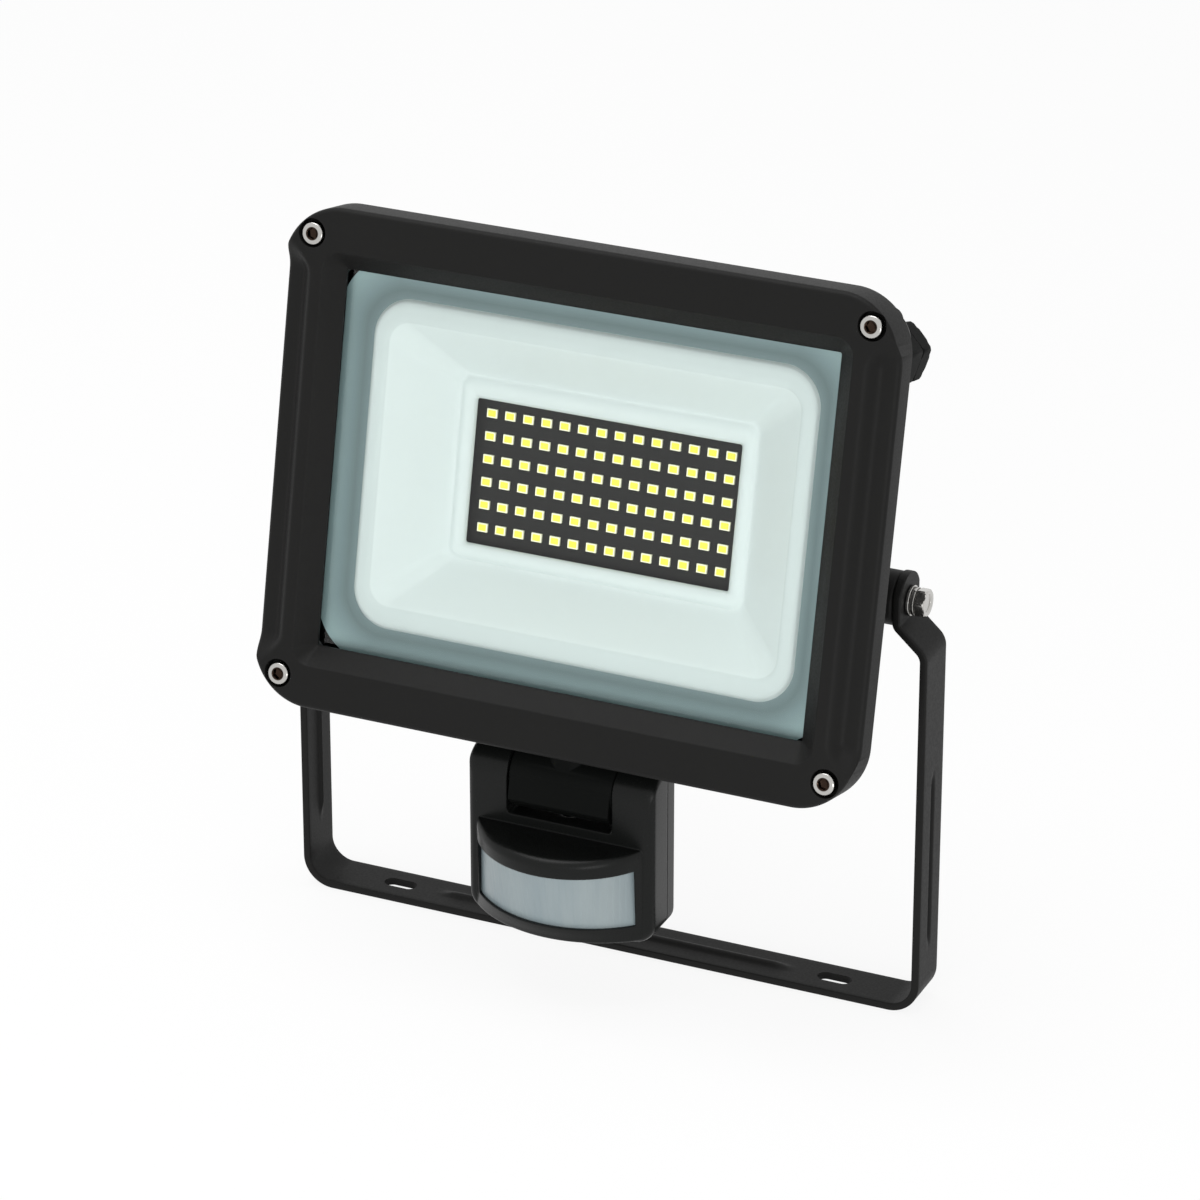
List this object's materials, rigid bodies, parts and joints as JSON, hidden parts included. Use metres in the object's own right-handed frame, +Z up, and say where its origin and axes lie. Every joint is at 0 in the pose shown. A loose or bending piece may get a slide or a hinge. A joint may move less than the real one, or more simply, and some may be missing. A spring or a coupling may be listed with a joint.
{
  "type": "motion sensor floodlight",
  "caption": "Flat floodlight head on a U-shaped wall bracket, with a swivelling, tilting motion sensor on a neck below the head.",
  "frame": {"origin": "middle of the underside of the bracket's base, where the wall screws hold it", "axes": "+X to the right seen from the front, +Y from the front towards the back, +Z up from the bracket's base towards the head"},
  "size_m": [0.2156, 0.0912, 0.2433],
  "materials": {
    "black_strip": "satin black powder coat on steel strip",
    "black_casting": "satin black powder coat on die-cast aluminium",
    "clear_glass": "clear toughened glass",
    "reflector_white": "pale satin reflector",
    "led_board": "black solder mask with pale yellow LED packages",
    "circuit_board": "green solder mask",
    "terminal_plastic": "white nylon",
    "milky_lens": "milky translucent polyethylene lens",
    "seal_rubber": "black silicone",
    "stainless": "stainless steel",
    "gland_plastic": "black nylon",
    "sensor_plastic": "moulded black plastic with a low gloss"
  },
  "bodies": {
    "bracket": {"bracket": "black_strip"},
    "head": {"front_frame": "black_casting", "glass_gasket": "seal_rubber", "glass_pane": "clear_glass", "housing_seal": "seal_rubber", "reflector": "reflector_white", "led_board": "led_board", "board_screw_1": "stainless", "board_screw_2": "stainless", "board_screw_3": "stainless", "board_screw_4": "stainless", "driver_board": "circuit_board", "driver_screw_1": "stainless", "driver_screw_2": "stainless", "terminal_block": "terminal_plastic", "rear_housing": "black_casting", "frame_screw_1": "stainless", "frame_screw_2": "stainless", "frame_screw_3": "stainless", "frame_screw_4": "stainless", "gland_ring": "seal_rubber", "gland_body": "gland_plastic", "gland_seal": "seal_rubber", "gland_nut": "gland_plastic", "neck_seal": "seal_rubber", "flat_washer_left": "stainless", "flat_washer_right": "stainless", "spring_washer_left": "stainless", "spring_washer_right": "stainless", "pivot_bolt_left": "stainless", "pivot_bolt_right": "stainless"},
    "sensor_neck": {"sensor_neck": "sensor_plastic", "neck_nut": "sensor_plastic"},
    "sensor": {"sensor_front": "sensor_plastic", "sensor_back": "sensor_plastic", "fresnel_lens": "milky_lens", "sensor_board": "circuit_board", "pir_detector": "stainless", "relay": "sensor_plastic", "cover_screw_1": "stainless", "cover_screw_2": "stainless", "cover_screw_3": "stainless", "cover_screw_4": "stainless"},
    "sensitivity_dial": {"sensitivity_dial": "sensor_plastic"},
    "time_dial": {"time_dial": "sensor_plastic"},
    "light_level_dial": {"light_level_dial": "sensor_plastic"}
  },
  "joints": [
    {"name": "head_tilt", "type": "hinge", "parent": "bracket", "child": "head", "pos_m": [0, 0, 0.1384], "axis": [-1, 0, 0], "range_deg": [-102.5, 77.5]},
    {"name": "sensor_swivel", "type": "hinge", "parent": "head", "child": "sensor_neck", "pos_m": [0, -0.03297, 0.07237], "axis": [0, 0.2164, 0.9763], "range_deg": [-75, 75]},
    {"name": "sensor_tilt", "type": "hinge", "parent": "sensor_neck", "child": "sensor", "pos_m": [0, -0.03297, 0.07237], "axis": [1, 0, 0], "range_deg": [-30, 50]},
    {"name": "sensitivity_dial_turn", "type": "hinge", "parent": "sensor", "child": "sensitivity_dial", "pos_m": [-0.013, -0.03597, 0.02537], "axis": [0, 0, -1], "range_deg": [-135, 135]},
    {"name": "time_dial_turn", "type": "hinge", "parent": "sensor", "child": "time_dial", "pos_m": [0, -0.03597, 0.02537], "axis": [0, 0, -1], "range_deg": [-135, 135]},
    {"name": "light_level_dial_turn", "type": "hinge", "parent": "sensor", "child": "light_level_dial", "pos_m": [0.013, -0.03597, 0.02537], "axis": [0, 0, -1], "range_deg": [-135, 135]}
  ]
}
